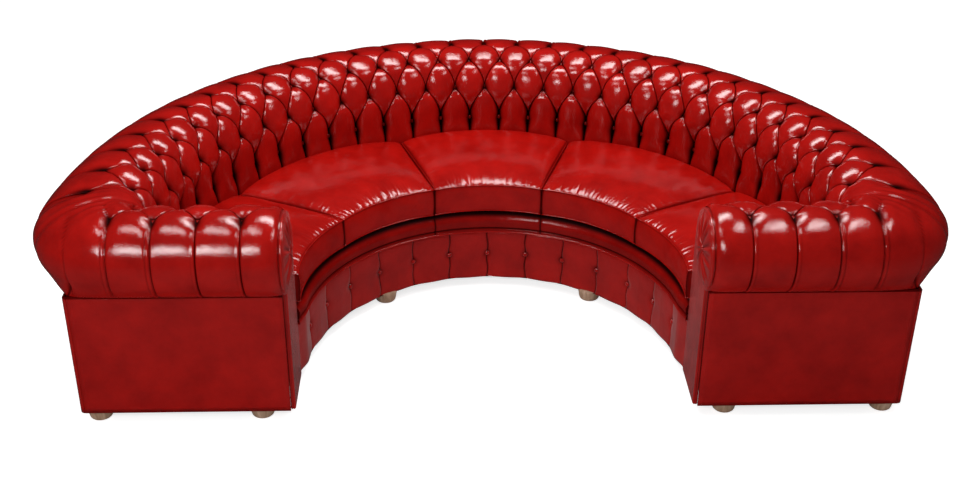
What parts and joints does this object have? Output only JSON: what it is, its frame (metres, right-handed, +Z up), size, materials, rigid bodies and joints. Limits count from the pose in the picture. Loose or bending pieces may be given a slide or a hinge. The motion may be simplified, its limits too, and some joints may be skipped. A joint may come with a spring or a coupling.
{
  "type": "curved corner sofa",
  "caption": "Half-round deep-buttoned leather sofa with rolled arms and back, loose wedge cushions and tapered round feet.",
  "frame": {"origin": "on the floor, under the middle of the sofa's overall length and depth", "axes": "+Z up, -Y towards the open front, +X to the right as seen from the front"},
  "size_m": [3.0298, 1.823, 0.8041],
  "materials": {
    "leather": "glossy dark red upholstery leather with a fine grain",
    "timber": "plain planed frame timber and boards",
    "feet": "pale turned wood, satin lacquer",
    "webbing": "woven jute and elastic webbing",
    "dust_cloth": "thin black bonded cloth"
  },
  "bodies": {
    "frame_and_upholstery": {"arm_base_plate_left": "timber", "arm_base_plate_right": "timber", "arm_facing_left": "leather", "arm_facing_right": "leather", "arm_pad_left": "leather", "arm_pad_right": "leather", "arm_rib_left_1": "timber", "arm_rib_left_2": "timber", "arm_rib_right_1": "timber", "arm_rib_right_2": "timber", "arm_scroll_left": "leather", "arm_scroll_right": "leather", "arm_top_rail_left": "timber", "arm_top_rail_right": "timber", "back_base_plate": "timber", "back_rib_1": "timber", "back_rib_2": "timber", "back_rib_3": "timber", "back_rib_4": "timber", "back_rib_5": "timber", "back_top_rail": "timber", "buttoned_back_1": "leather", "buttoned_back_2": "leather", "buttoned_back_3": "leather", "buttoned_back_4": "leather", "buttoned_back_5": "leather", "cross_rail_1": "timber", "cross_rail_2": "timber", "cross_rail_3": "timber", "cross_rail_4": "timber", "dust_cover": "dust_cloth", "foot_1": "feet", "foot_10": "feet", "foot_2": "feet", "foot_3": "feet", "foot_4": "feet", "foot_5": "feet", "foot_6": "feet", "foot_7": "feet", "foot_8": "feet", "foot_9": "feet", "front_border": "leather", "front_seat_rail": "timber", "outside_arm_left": "leather", "outside_arm_right": "leather", "outside_back": "leather", "rear_seat_rail": "timber", "seat_platform": "leather", "webbing_1": "webbing", "webbing_2": "webbing", "webbing_3": "webbing", "webbing_4": "webbing", "webbing_5": "webbing"},
    "cushion_left_end": {"seat_cushion_1": "leather"},
    "cushion_left_middle": {"seat_cushion_2": "leather"},
    "cushion_centre": {"seat_cushion_3": "leather"},
    "cushion_right_middle": {"seat_cushion_4": "leather"},
    "cushion_right_end": {"seat_cushion_5": "leather"}
  },
  "joints": [
    {"name": "cushion_left_end_lift", "type": "slide", "parent": "frame_and_upholstery", "child": "cushion_left_end", "axis": [0, 0, 1], "range_m": [0, 0.25]},
    {"name": "cushion_left_middle_lift", "type": "slide", "parent": "frame_and_upholstery", "child": "cushion_left_middle", "axis": [0, 0, 1], "range_m": [0, 0.25]},
    {"name": "cushion_centre_lift", "type": "slide", "parent": "frame_and_upholstery", "child": "cushion_centre", "axis": [0, 0, 1], "range_m": [0, 0.25]},
    {"name": "cushion_right_middle_lift", "type": "slide", "parent": "frame_and_upholstery", "child": "cushion_right_middle", "axis": [0, 0, 1], "range_m": [0, 0.25]},
    {"name": "cushion_right_end_lift", "type": "slide", "parent": "frame_and_upholstery", "child": "cushion_right_end", "axis": [0, 0, 1], "range_m": [0, 0.25]}
  ]
}
